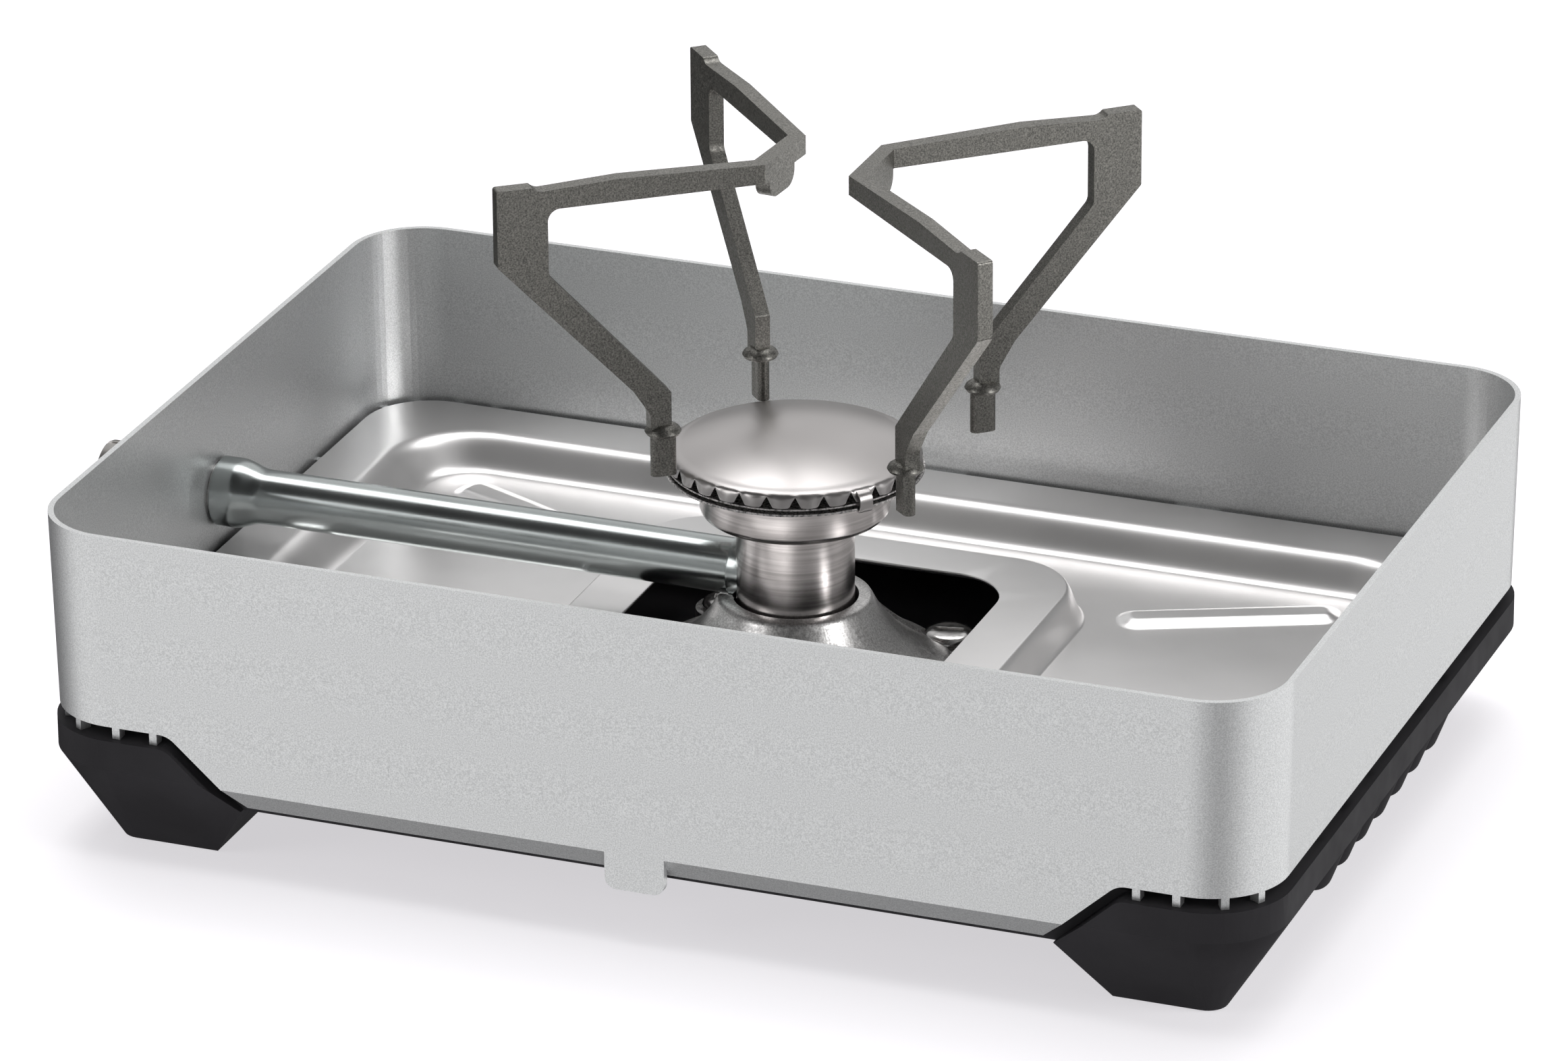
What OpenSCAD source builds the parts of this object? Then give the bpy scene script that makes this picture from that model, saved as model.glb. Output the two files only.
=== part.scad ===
// Table-top gas burner with its top cover off.
// Everything is drawn about the burner's own axis, with the surface the stove stands on at
// z = 0, the mixing tube running to -X and the front apron facing -Y. placed() then moves the
// whole part along X, so that the frame's origin is under the middle of the overall length.

/* [Casing] */
// Length of the casing over its rim
case_l = 320; // [300:1:360]
// Width of the casing over its rim
case_w = 221; // [205:1:250]
// Outer radius of the casing's upright corners, at the rim
case_corner_r = 20.6; // [18:0.2:26]
// Thickness of the casing wall
case_wall = 1.5; // [1.2:0.1:2.4]
// Lean of the casing wall, in millimetres inward for each millimetre down
case_draft = 0.017; // [0.005:0.001:0.025]
// Height of the wall at the corners and the short sides
side_wall_h = 51; // [48:0.5:60]
// Depth of the front and back aprons below the bottom edge of the short sides
apron_drop = 12.4; // [9:0.2:13]
// Distance from the casing's end to where each apron's slope leaves that bottom edge
apron_end = 37; // [34:0.5:50]
// Height of the lip that folds inward under each apron
lip_h = 5.2; // [3:0.2:6]
// Inward reach of that lip
lip_in = 3.1; // [1:0.1:4]
// Width of the tab under the middle of the front apron
tab_w = 15.5; // [10:0.5:40]
// Height of the tab below the apron's fold
tab_h = 9.6; // [6:0.2:14]

/* [Base] */
// Height of the base's ledge above the surface the stove stands on
base_h = 33.5; // [31:0.5:45]
// Height of the upright band round the base
band_h = 8; // [5:0.5:10]
// Open gap between the ledge and the casing's bottom edge
vent_gap = 3.5; // [2.5:0.1:4.5]
// Inward reach of the sloping sides below the band, at the feet's soles
foot_in = 15.5; // [10:0.5:17]
// Height of the open space under the base between the front feet
foot_h = 17.5; // [12:0.5:20]
// Height of the open space under the short sides, between a front and a rear foot
skirt_h = 12; // [8:0.5:16]
// Length of each foot's sole
foot_l = 25.5; // [20:0.5:34]
// Width of each foot's sole, across the stove
foot_w = 33; // [26:0.5:40]
// Thickness of the base's floor
base_floor = 2.5; // [2:0.5:4]
// Width of the ledge at the corners and the short sides
ledge_w = 9.6; // [8:0.2:12]
// Spacing of the upright ribs on the sloping short sides
rib_pitch = 14.3; // [13:0.1:16]
// Number of ribs on each short side
rib_count = 8; // [4:2:8]
// Height by which the rubber soles stand proud of the feet
pad_proud = 0.5; // [0.3:0.1:1.5]

/* [Tray] */
// Thickness of the tray's sheet
sheet = 0.8; // [0.6:0.1:1.2]
// Height of the tray's outer ledge above the base's ledge
tray_rise = 6.5; // [6:0.1:9]
// Width of the tray's outer ledge
tray_ledge = 16; // [12:0.5:20]
// Depth of the tray's floor below its ledge
step_drop = 8; // [5:0.2:8.6]
// Width of the sloping step from ledge to floor
step_run = 11; // [6:0.5:14]
// Height of the raised platform in the middle above the floor
platform_rise = 9; // [6:0.2:9.6]
// Half width of the square opening in the platform
opening_half = 43.2; // [42:0.1:46]
// Width of the platform's flat top round the opening
platform_w = 14; // [10:0.5:18]
// Height of the four stiffening ribs pressed into the floor
press_h = 1.4; // [0.8:0.1:2]

/* [Burner] */
// Outer radius of the socket's collar
collar_r = 18.9; // [17.5:0.1:20]
// Radial gap between the collar and the burner's stem
collar_gap = 1; // [0.6:0.1:1.4]
// Height of the collar's top above the tray's outer ledge
collar_rise = 8.8; // [6:0.2:9.6]
// Outer radius of the burner's stem
stem_r = 14.9; // [13:0.1:15.2]
// Length of stem that shows above the collar
stem_show = 22.8; // [20:0.2:30]
// Distance from the burner axis to each socket screw, along X and along Y
screw_at = 30; // [28:0.5:31]
// Outer radius of the cup on top of the stem
cup_r = 23.9; // [21:0.1:26]
// Height of that cup
cup_h = 11.8; // [9:0.2:16]
// Outer radius of the burner's cap
cap_r = 31.7; // [28:0.1:36]
// Rise of the cap's dome above its skirt
dome_h = 5.6; // [3:0.1:9]
// Number of flame ports round the cap's skirt
port_count = 28; // [20:2:30]

/* [Gas line] */
// Height of the mixing tube's axis above the tray's outer ledge
tube_rise = 14; // [13:0.2:18]
// Outer radius of the mixing tube
tube_r = 7.1; // [5.5:0.1:7.6]
// Outer radius of the tube's bell mouth
bell_r = 9; // [8.8:0.1:11]
// Length of the bell, with its taper
bell_l = 13; // [10:0.5:20]
// Outer radius of the air collar and valve outside the wall
valve_r = 8.9; // [8.6:0.1:10.5]
// Length of the control knob
knob_l = 11; // [9:0.5:18]
// Outer radius of the control knob
knob_r = 8.9; // [8.4:0.1:11]

/* [Pan supports] */
// Offset of the pair of pan supports from the burner axis, along the length
support_x = 8.5; // [-8.5:0.5:8.5]
// Turn of the left support from square, clockwise from above
left_turn = 4.5; // [-5:0.5:5]
// Height of the supports' peg flanges above the casing's rim
support_lift = 11; // [9:0.5:40]
// Height of a support's rail above its peg flanges
rail_h = 68.2; // [60:0.2:80]
// Depth of the rail at the apex
rail_d = 5; // [4:0.2:7]
// Thickness of the plate that each support is made of
plate_t = 4; // [3:0.2:4.6]
// Distance from the pair's middle to the face of each apex
apex_x = 10.4; // [8:0.2:16]
// Half length of the straight bar at each apex
apex_half = 11.3; // [8:0.1:14]
// Length of each arm from the apex bar's corner to its outer edge
arm_l = 68.2; // [62:0.2:76]
// Angle between each arm and the support's middle line
arm_angle = 42.7; // [36:0.1:48]
// Width of the upright post at the end of each arm
post_w = 12.8; // [9:0.2:16]
// Width of the flat pegs under the supports
peg_w = 6.6; // [5:0.2:8]
// Length of the pegs
peg_l = 11; // [8:0.5:14]

/* [Hidden] */
$fn = 64;
eps = 0.01;
fit = 0.1;          // clearance on radius where one round piece sits in another
side_gap = 0.5;     // clearance round the tray's edge

// heights
case_z = base_h + vent_gap;
rim_z = case_z + side_wall_h;
fold_z = case_z - apron_drop;
lip_z = fold_z - lip_h;
band_z = base_h - band_h;
floor_z = foot_h + base_floor;
tray_z = base_h + tray_rise;
tray_floor_z = tray_z - step_drop;
platform_z = tray_floor_z + platform_rise;
tube_z = tray_z + tube_rise;
collar_z = tray_z + collar_rise;

// casing and base in plan
apron_half_l = case_l/2 - apron_end;
foot_x = case_l/2 - foot_in - foot_l;           // from the burner axis to a foot's sole
foot_y = case_w/2 - foot_in - foot_w;
slope_in = foot_in / band_z;                    // lean of the base's sloping sides
apron_slope = 1 / tan(42);                      // run of the aprons' ends for each unit down
foot_slope = (foot_slope_x(foot_h) - foot_x) / foot_h;
wall_in_x = case_l/2 - case_wall - (rim_z - tray_z)*case_draft;
wall_in_y = case_w/2 - case_wall - (rim_z - tray_z)*case_draft;
bar_l = 3;
bar_w = 2;
bar_top = tray_z - sheet;
recess_y = case_w/2 - (rim_z - lip_z)*case_draft - lip_in - case_wall - 0.8;
lug_x = wall_in_x - 9;
lug_y = 40;
lug_r = 4.4;
case_screw_r = 2;
slot_count = 4;                                 // air slots in each quarter of the base's floor
slot_pitch = 12;
slot_w = 4;
slot_l = 36;
slot_y = 45;
slot_from = 19;
head_z = skirt_h + 4;                           // seat of the casing screws' heads

// tray in plan
tray_x = wall_in_x - side_gap;
tray_y = wall_in_y - side_gap;
tray_corner_r = case_corner_r - case_wall - side_gap;
step_x = tray_x - tray_ledge;
step_y = tray_y - tray_ledge;
step_corner_r = 24;
opening_r = 15;
platform_run = 5;
platform_half = opening_half + platform_w;
post_x = (platform_half + platform_run + step_x - step_run) / 2;
post_y = step_y - step_run - 12;

// burner, from the socket's flange up
boss_h = 4;
socket_z = floor_z + boss_h;
lug_t = 3.9;
lug_round = 8.4;
flare = 21.1;       // reach of the socket's bell beyond its collar
web_r = 12;
bore_r = stem_r + collar_gap;
shelf_z = socket_z + 10;
web_z = shelf_z - 3.6;
stud_r = 5;
socket_screw_r = 3;
socket_head_r = 6.7;
socket_head_h = 2.4;
washer_t = 1;
shoulder_z = collar_z + stem_show;
stem_wall = 2;
cup_floor = 2.4;
cup_wall = 2.2;
cup_top = shoulder_z + cup_h;
plate_r = cap_r + 0.8;
plate_th = 0.6;
spacer_h = 0.8;
skirt_z = cup_top + 2*plate_th + spacer_h;
skirt_h_cap = 2.8;
port_h = 2.6;
port_w = 2.5;       // a port's width at the skirt's edge
rim_r = 1.2;        // rounding of the cap's edge
cap_t = 0.9;
clip_w = 3.7;

// gas line outside the wall, measured outward from the wall's outer face
wall_x = -(case_l/2 - (rim_z - tube_z)*case_draft);
tube_t = 0.9;
spigot_l = bell_l*0.42 + 0.4;      // reach of the air collar inside the casing wall
collar_l = 8;
valve_l = 9;
gland_l = 1.8;
knob_from = collar_l + valve_l + gland_l + 0.3;
spindle_r = 2;
inlet_from = 5.2;   // from the valve's inner face to the inlet's axis
knob_end = wall_x - knob_from - knob_l;
frame_x = -(case_l/2 + knob_end) / 2;           // puts the origin under the part's middle

// pan supports
flange_z = rim_z + support_lift;
peg_s = 26.4;       // from the apex bar's corner to the peg's middle, along the arm
peg_t = 3.2;
neck_s = 27.4;
neck_w = 5.4;
flange_r = 4.6;
flange_h = 2.6;
nub_l = 9;
nub_h = 0.9;
crest_s = 37;       // where the rail is highest
crest_h = 0.8;
post_h = 19;

module placed() {
    translate([frame_x, 0, 0])
        children();
}

// ---- shared shapes

module rounded(l, w, r) {
    square([l - 2*r, w], center = true);
    square([l, w - 2*r], center = true);
    for (x = [-1, 1], y = [-1, 1])
        translate([x*(l/2 - r), y*(w/2 - r)])
            circle(r);
}

// a stretch of the casing's leaning outer surface, moved inward by inset
module drafted(z0, z1, inset) {
    in0 = inset + (rim_z - z0)*case_draft;
    in1 = inset + (rim_z - z1)*case_draft;
    translate([0, 0, z0])
        linear_extrude(z1 - z0, slices = 1, scale = [(case_l - 2*in1)/(case_l - 2*in0),
                                                     (case_w - 2*in1)/(case_w - 2*in0)])
            rounded(case_l - 2*in0, case_w - 2*in0, case_corner_r - in0);
}

module along_x(x0, x1) {
    translate([x0, 0, 0])
        rotate([90, 0, 90])
            linear_extrude(x1 - x0)
                children();
}

module along_y(y0, y1) {
    translate([0, y1, 0])
        rotate([90, 0, 0])
            linear_extrude(y1 - y0)
                children();
}

// a turned piece on the gas line: its profile is [distance outward from the wall, radius]
module turned_outward(profile) {
    translate([wall_x, 0, tube_z])
        rotate([0, -90, 0])
            rotate_extrude()
                polygon([for (p = profile) [p[1], p[0]]]);
}

module in_four(x, y) {
    for (sx = [-1, 1], sy = [-1, 1])
        translate([sx*x, sy*y, 0])
            children();
}

function arc(cx, cy, r, a0, a1, n = 8) =
    [for (i = [0:n]) let (a = a0 + (a1 - a0)*i/n) [cx + r*cos(a), cy + r*sin(a)]];

// half length of the open stretch between two feet's slopes, at a depth below the ledge
function foot_slope_x(z) = apron_half_l + 0.5 - (base_h - z)*apron_slope;

// ---- casing

// everything past the end of an apron, below the short sides' bottom edge
module past_apron() {
    r = 6;
    a = 42;
    x0 = apron_half_l + r*tan(a/2);
    low = fold_z - lip_h - tab_h - 2;
    polygon(concat(
        [[case_l, case_z]],
        arc(x0, case_z - r, r, 90, 90 + a),
        [[apron_half_l - (case_z - low)*apron_slope, low], [case_l, low]]));
}

module aprons() {
    y0 = case_w/2 - (rim_z - fold_z - 1)*case_draft;
    y1 = y0 - case_draft;
    for (side = [-1, 1])
        scale([1, side, 1])
            along_x(-apron_half_l, apron_half_l)
                polygon([[y0, fold_z + 1], [y1, fold_z], [y1 - lip_in, lip_z],
                         [y1 - lip_in - case_wall, lip_z], [y1 - case_wall, fold_z],
                         [y0 - case_wall, fold_z + 1]]);
}

module front_tab() {
    r = 3;
    y1 = case_w/2 - (rim_z - fold_z)*case_draft;
    low = fold_z - tab_h;
    along_y(-y1, -y1 + case_wall + 0.5)
        polygon(concat(
            [[tab_w/2, fold_z + 2], [-tab_w/2, fold_z + 2]],
            arc(-tab_w/2 + r, low + r, r, 180, 270),
            arc(tab_w/2 - r, low + r, r, 270, 360)));
}

// the upright bars that stand on the base's ledge and carry the tray
module vent_bar(len) {
    translate([-bar_w/2, -len, base_h])
        cube([bar_w, len, bar_top - base_h]);
}

module vent_bars() {
    r = case_corner_r - (rim_z - case_z)*case_draft - case_wall + 0.4;
    corner_x = case_l/2 - case_corner_r;
    corner_y = case_w/2 - case_corner_r;
    in_y = case_w/2 - (rim_z - case_z)*case_draft - case_wall + 0.4;
    in_x = case_l/2 - (rim_z - case_z)*case_draft - case_wall + 0.4;
    for (sx = [0, 1], sy = [0, 1])
        mirror([sx, 0, 0])
            mirror([0, sy, 0]) {
                for (a = [30, 60])
                    translate([corner_x, corner_y, 0])
                        rotate([0, 0, -a])
                            translate([0, r, 0])
                                vent_bar(bar_l);
                for (x = [corner_x - 2, corner_x - 12])
                    translate([x, in_y, 0])
                        vent_bar(bar_l);
                for (y = [lug_y + 20, lug_y - 20])
                    translate([in_x, y, 0])
                        rotate([0, 0, -90])
                            vent_bar(bar_l);
            }
}

// bosses for the screws that come up through the base
module case_lugs() {
    reach = wall_in_x + 0.5 - lug_x;
    in_four(lug_x, lug_y)
        translate([0, 0, base_h])
            cylinder(r = lug_r, h = bar_top - base_h);
    for (sx = [-1, 1], sy = [-1, 1])
        translate([sx*(lug_x + reach/2), sy*lug_y, (base_h + bar_top)/2])
            cube([reach, 5, bar_top - base_h], center = true);
}

module tray_seats() {
    for (x = [-70, 0, 70], side = [-1, 1])
        translate([x, side*(wall_in_y - 1), bar_top - 2])
            cube([12, 5, 4], center = true);
}

module casing() {
    color("#c3c5c6") placed() difference() {
        union() {
            difference() {
                drafted(fold_z, rim_z, 0);
                drafted(fold_z - 1, rim_z + 1, case_wall);
                for (side = [0, 1])
                    mirror([side, 0, 0])
                        along_y(-case_w, case_w)
                            past_apron();
            }
            difference() {
                aprons();
                for (side = [0, 1])
                    mirror([side, 0, 0])
                        along_y(-case_w, case_w)
                            past_apron();
            }
            front_tab();
            vent_bars();
            case_lugs();
            tray_seats();
        }
        in_four(lug_x, lug_y)
            translate([0, 0, base_h - 1])
                cylinder(r = case_screw_r + fit, h = bar_top - base_h - 0.4);
        translate([wall_x - 2, 0, tube_z])
            rotate([0, 90, 0])
                cylinder(r = air_spigot_r() + fit, h = 6);
    }
}

// ---- base

module open_between_feet_x() {
    polygon([[-foot_x - 1*foot_slope, -1], [-foot_slope_x(foot_h), foot_h],
             [foot_slope_x(foot_h), foot_h], [foot_x + 1*foot_slope, -1]]);
}

module open_between_feet_y() {
    top = foot_y - skirt_h*0.7;
    polygon([[-foot_y - 0.7, -1], [-top, skirt_h], [top, skirt_h], [foot_y + 0.7, -1]]);
}

// the recess behind an apron, between two feet's slopes
module open_behind_apron() {
    r = 5;
    a = 42;
    top = apron_half_l + 0.5;
    half = concat(
        [[0, foot_h - 1], [foot_slope_x(foot_h) + foot_slope, foot_h - 1],
         [foot_slope_x(foot_h), foot_h]],
        arc(top + r*tan(a/2), base_h - r, r, 90 + a, 90),
        [[top + r*tan(a/2), base_h + 1], [0, base_h + 1]]);
    polygon(half);
    mirror([1, 0])
        polygon(half);
}

module side_ribs() {
    lean = atan(slope_in);
    run = (band_z - skirt_h - 2.5) / cos(lean);
    r = 5.4;
    for (i = [0:rib_count - 1], sx = [0, 1])
        mirror([sx, 0, 0])
            translate([case_l/2, (i - (rib_count - 1)/2)*rib_pitch, band_z - 0.5])
                rotate([0, lean, 0])
                    translate([-r + 1.9, 0, -run]) {
                        cylinder(r = r, h = run - 2);
                        sphere(r);
                    }
}

module base_floor_vents() {
    for (i = [0:slot_count - 1], sx = [-1, 1], sy = [-1, 1])
        translate([sx*(foot_x - slot_from - i*slot_pitch) - slot_w/2, sy*slot_y - slot_l/2,
                   foot_h - 1])
            cube([slot_w, slot_l, base_floor + 2]);
}

module base_shell() {
    inner_x = case_l/2 - ledge_w;
    inner_y = recess_y - 2.5;
    difference() {
        union() {
            translate([0, 0, band_z])
                linear_extrude(band_h)
                    rounded(case_l, case_w, case_corner_r);
            hull() {
                translate([0, 0, band_z])
                    linear_extrude(eps)
                        rounded(case_l, case_w, case_corner_r, $fn = 32);
                translate([0, 0, pad_proud])
                    linear_extrude(eps)
                        rounded(case_l - 2*foot_in, case_w - 2*foot_in,
                                max(2, case_corner_r - foot_in), $fn = 32);
            }
        }
        along_y(-case_w, case_w)
            open_between_feet_x();
        along_x(-case_l, case_l)
            open_between_feet_y();
        along_y(recess_y, case_w)
            open_behind_apron();
        along_y(-case_w, -recess_y)
            open_behind_apron();
        translate([0, 0, floor_z])
            linear_extrude(base_h)
                rounded(2*inner_x, 2*inner_y, 12);
        base_floor_vents();
    }
}

module base() {
    color("#232124") placed() difference() {
        union() {
            base_shell();
            intersection() {
                side_ribs();
                translate([0, 0, skirt_h + 1 + base_h/2])
                    cube([case_l, 2*foot_y, base_h], center = true);
            }
            in_four(screw_at, screw_at)
                translate([0, 0, floor_z - 1])
                    cylinder(r = 8, h = boss_h + 1);
            in_four(post_x, post_y)
                translate([0, 0, floor_z - 1])
                    cylinder(r = 4, h = tray_floor_z - sheet - floor_z + 1);
        }
        in_four(screw_at, screw_at)
            translate([0, 0, foot_h - 1])
                cylinder(r = socket_screw_r + fit, h = boss_h + base_floor + 2);
        in_four(lug_x, lug_y) {
            translate([0, 0, 0])
                cylinder(r = 4.4, h = head_z);
            cylinder(r = case_screw_r + 0.25, h = base_h + 1);
        }
        in_four((foot_x + case_l/2 - foot_in)/2, (foot_y + case_w/2 - foot_in)/2)
            translate([0, 0, pad_proud - 1])
                linear_extrude(3)
                    rounded(pad_l() + 0.4, pad_w() + 0.4, 4.2);
    }
}

function pad_l() = case_l/2 - foot_in - foot_x - 7;
function pad_w() = case_w/2 - foot_in - foot_y - 7;

module foot_pads() {
    color("#17171a") placed()
        in_four((foot_x + case_l/2 - foot_in)/2, (foot_y + case_w/2 - foot_in)/2)
            linear_extrude(pad_proud + 2)
                rounded(pad_l(), pad_w(), 4);
}

module case_screws() {
    color("#8f9194") placed()
        in_four(lug_x, lug_y) {
            translate([0, 0, head_z])
                cylinder(r = case_screw_r, h = bar_top - head_z - 2);
            difference() {
                translate([0, 0, head_z - 2.6])
                    cylinder(r = 3.8, h = 2.6);
                for (a = [0, 90])
                    rotate([0, 0, a])
                        translate([-2.5, -0.5, head_z - 2.7])
                            cube([5, 1, 1.4]);
            }
        }
}

// ---- tray

// a straight-sided frustum between two rounded outlines
module tray_taper(half0, half1, r0, r1, z0, z1) {
    hull() {
        translate([0, 0, z0])
            linear_extrude(eps)
                rounded(2*half0[0], 2*half0[1], r0, $fn = 32);
        translate([0, 0, z1 - eps])
            linear_extrude(eps)
                rounded(2*half1[0], 2*half1[1], r1, $fn = 32);
    }
}

module pressed_rib(h, w) {
    translate([0, -w/2, 0])
        cube([45, w, h]);
    for (x = [0, 45])
        translate([x, 0, 0])
            cylinder(r = w/2, h = h);
}

module drip_tray() {
    floor_x = step_x - step_run;
    floor_y = step_y - step_run;
    plat = platform_half;
    color("#b7b3b2") placed() difference() {
        union() {
            translate([0, 0, tray_z - sheet])
                linear_extrude(sheet)
                    rounded(2*tray_x, 2*tray_y, tray_corner_r);
            tray_taper([floor_x + sheet, floor_y + sheet], [step_x + sheet, step_y + sheet],
                       step_corner_r - step_run, step_corner_r, tray_floor_z - sheet, tray_z);
        }
        tray_taper([floor_x, floor_y], [step_x, step_y],
                   step_corner_r - step_run, step_corner_r, tray_floor_z, tray_z + eps);
        translate([0, 0, tray_floor_z - 1])
            linear_extrude(2)
                rounded(2*plat + 2*platform_run - 1, 2*plat + 2*platform_run - 1, 22);
    }
    color("#b7b3b2") placed() difference() {
        tray_taper([plat + platform_run, plat + platform_run], [plat, plat], 24, 20,
                   tray_floor_z - sheet, platform_z);
        tray_taper([plat + platform_run - sheet, plat + platform_run - sheet],
                   [plat - sheet, plat - sheet], 23, 19,
                   tray_floor_z - sheet - 2*eps, platform_z - sheet);
        translate([0, 0, tray_floor_z])
            linear_extrude(platform_rise + 1)
                rounded(2*opening_half, 2*opening_half, opening_r);
    }
    color("#b7b3b2") placed()
        for (sx = [0, 1], sy = [0, 1])
            mirror([sx, 0, 0])
                mirror([0, sy, 0])
                    translate([(plat + platform_run + floor_x)/2 - 22, floor_y/2 + 10,
                               tray_floor_z - eps])
                        rotate([0, 0, 24]) {
                            pressed_rib(press_h/2, 13);
                            pressed_rib(press_h, 10);
                        }
}

// ---- burner

module socket_gusset() {
    along_y(-1.8, 1.8)
        polygon([[collar_r - 2, collar_z - 3], [collar_r + 1, collar_z - 3],
                 [screw_at*sqrt(2) - 7.5, socket_z + lug_t],
                 [screw_at*sqrt(2) - 9, socket_z + 1],
                 [collar_r - 2, socket_z + 1]]);
}

module socket_bell() {
    rise = collar_z - socket_z;
    rotate_extrude()
        polygon([[stud_r + fit, web_z], [stud_r + fit, shelf_z], [bore_r, shelf_z],
                 [bore_r, collar_z], [collar_r, collar_z], [collar_r, collar_z - 1.6],
                 [collar_r + flare*0.08, collar_z - 2.6], [collar_r + flare*0.24, socket_z + rise*0.70],
                 [collar_r + flare*0.46, socket_z + rise*0.50],
                 [collar_r + flare*0.69, socket_z + rise*0.34],
                 [collar_r + flare*0.92, socket_z + rise*0.24],
                 [collar_r + flare, socket_z + rise*0.18], [collar_r + flare, socket_z],
                 [web_r, socket_z], [web_r, web_z]]);
}

module burner_socket() {
    color("#c9c9c8") placed() difference() {
        union() {
            socket_bell();
            in_four(screw_at, screw_at)
                translate([0, 0, socket_z])
                    cylinder(r = lug_round, h = lug_t);
            for (a = [45:90:315])
                rotate([0, 0, a])
                    socket_gusset();
        }
        in_four(screw_at, screw_at) {
            translate([0, 0, socket_z - 1])
                cylinder(r = socket_screw_r + fit, h = 12);
            translate([0, 0, socket_z + lug_t])
                cylinder(r = socket_head_r + 0.6, h = 12);
        }
        translate([0, 0, shelf_z])
            cylinder(r = bore_r, h = 40);
        translate([-collar_r - 12, 0, tube_z])
            rotate([0, 90, 0])
                cylinder(r = tube_r + 1.1, h = collar_r);
    }
}

module socket_washers() {
    color("#4b4b4e") placed()
        in_four(screw_at, screw_at)
            translate([0, 0, socket_z + lug_t])
                difference() {
                    cylinder(r = socket_head_r - 0.9, h = washer_t);
                    translate([0, 0, -1])
                        cylinder(r = socket_screw_r + fit, h = washer_t + 2);
                }
}

module socket_screws() {
    head = socket_z + lug_t + washer_t;
    color("#b9b9ba") placed()
        in_four(screw_at, screw_at) {
            translate([0, 0, foot_h + 0.5])
                cylinder(r = socket_screw_r, h = head - foot_h - 0.5);
            difference() {
                translate([0, 0, head])
                    rotate_extrude()
                        polygon([[0, 0], [socket_head_r - 0.5, 0], [socket_head_r, 0.6],
                                 [socket_head_r - 0.5, 1.5], [socket_head_r - 2, socket_head_h],
                                 [0, socket_head_h]]);
                rotate([0, 0, 12])
                    translate([-3.6, -1.1, head + socket_head_h - 1.2])
                        cube([7.2, 2.2, 2]);
            }
        }
}

module burner_stem() {
    color("#8d8a88") placed() difference() {
        rotate_extrude()
            polygon([[0, socket_z + 0.6], [stud_r, socket_z + 0.6], [stud_r, shelf_z],
                     [bore_r - fit, shelf_z], [bore_r - fit, shelf_z + 3],
                     [stem_r, shelf_z + 3], [stem_r, shoulder_z],
                     [stem_r - 0.9, shoulder_z], [stem_r - 0.9, shoulder_z + cup_floor],
                     [stem_r - stem_wall, shoulder_z + cup_floor],
                     [stem_r - stem_wall, shelf_z + 3], [0, shelf_z + 3]]);
        translate([-stem_r - 2, 0, tube_z])
            rotate([0, 90, 0])
                cylinder(r = tube_r + fit, h = stem_r - 2);
    }
}

module stem_washer() {
    color("#77787b") placed()
        translate([0, 0, web_z - 1])
            difference() {
                cylinder(r = 9.6, h = 1);
                translate([0, 0, -1])
                    cylinder(r = stud_r + fit, h = 3);
            }
}

module stem_nut() {
    color("#77787b") placed()
        translate([0, 0, web_z - 5])
            difference() {
                cylinder(r = 9.2, h = 4, $fn = 6);
                translate([0, 0, -1])
                    cylinder(r = stud_r + fit, h = 6);
            }
}

module burner_cup() {
    color("#8a8583") placed()
        rotate_extrude()
            polygon([[stem_r - 0.9 + fit, shoulder_z], [cup_r - 1.2, shoulder_z],
                     [cup_r, shoulder_z + 1.2], [cup_r, cup_top],
                     [cup_r - cup_wall, cup_top], [cup_r - cup_wall, shoulder_z + cup_floor],
                     [stem_r - 0.9 + fit, shoulder_z + cup_floor]]);
}

module ring_plate(r, hole, z, h) {
    translate([0, 0, z])
        difference() {
            cylinder(r = r, h = h);
            translate([0, 0, -1])
                cylinder(r = hole, h = h + 2);
        }
}

module lower_plate() {
    color("#6f6d6c") placed()
        ring_plate(plate_r, cup_r - cup_wall - 1.5, cup_top, plate_th);
}

module spacer_ring() {
    color("#1f1e1f") placed()
        ring_plate(plate_r - 2.2, cup_r - cup_wall, cup_top + plate_th, spacer_h);
}

module upper_plate() {
    color("#6f6d6c") placed()
        ring_plate(plate_r - 0.7, cup_r - cup_wall - 1, cup_top + plate_th + spacer_h, plate_th);
}

// three clips folded down from the cap's skirt and under the lower plate
module cap_clip() {
    out = plate_r + 0.3;
    low = cup_top - 0.8;
    along_y(-clip_w/2, clip_w/2)
        polygon([[cap_r - cap_t + 0.1, skirt_z + 1.9], [out + 0.7, skirt_z + 1.4],
                 [out + 0.7, low], [cap_r - 0.6, low], [cap_r - 0.6, low + 0.6],
                 [out, low + 0.6], [out, skirt_z + 0.8], [cap_r - cap_t + 0.1, skirt_z + 1.1]]);
}

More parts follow.
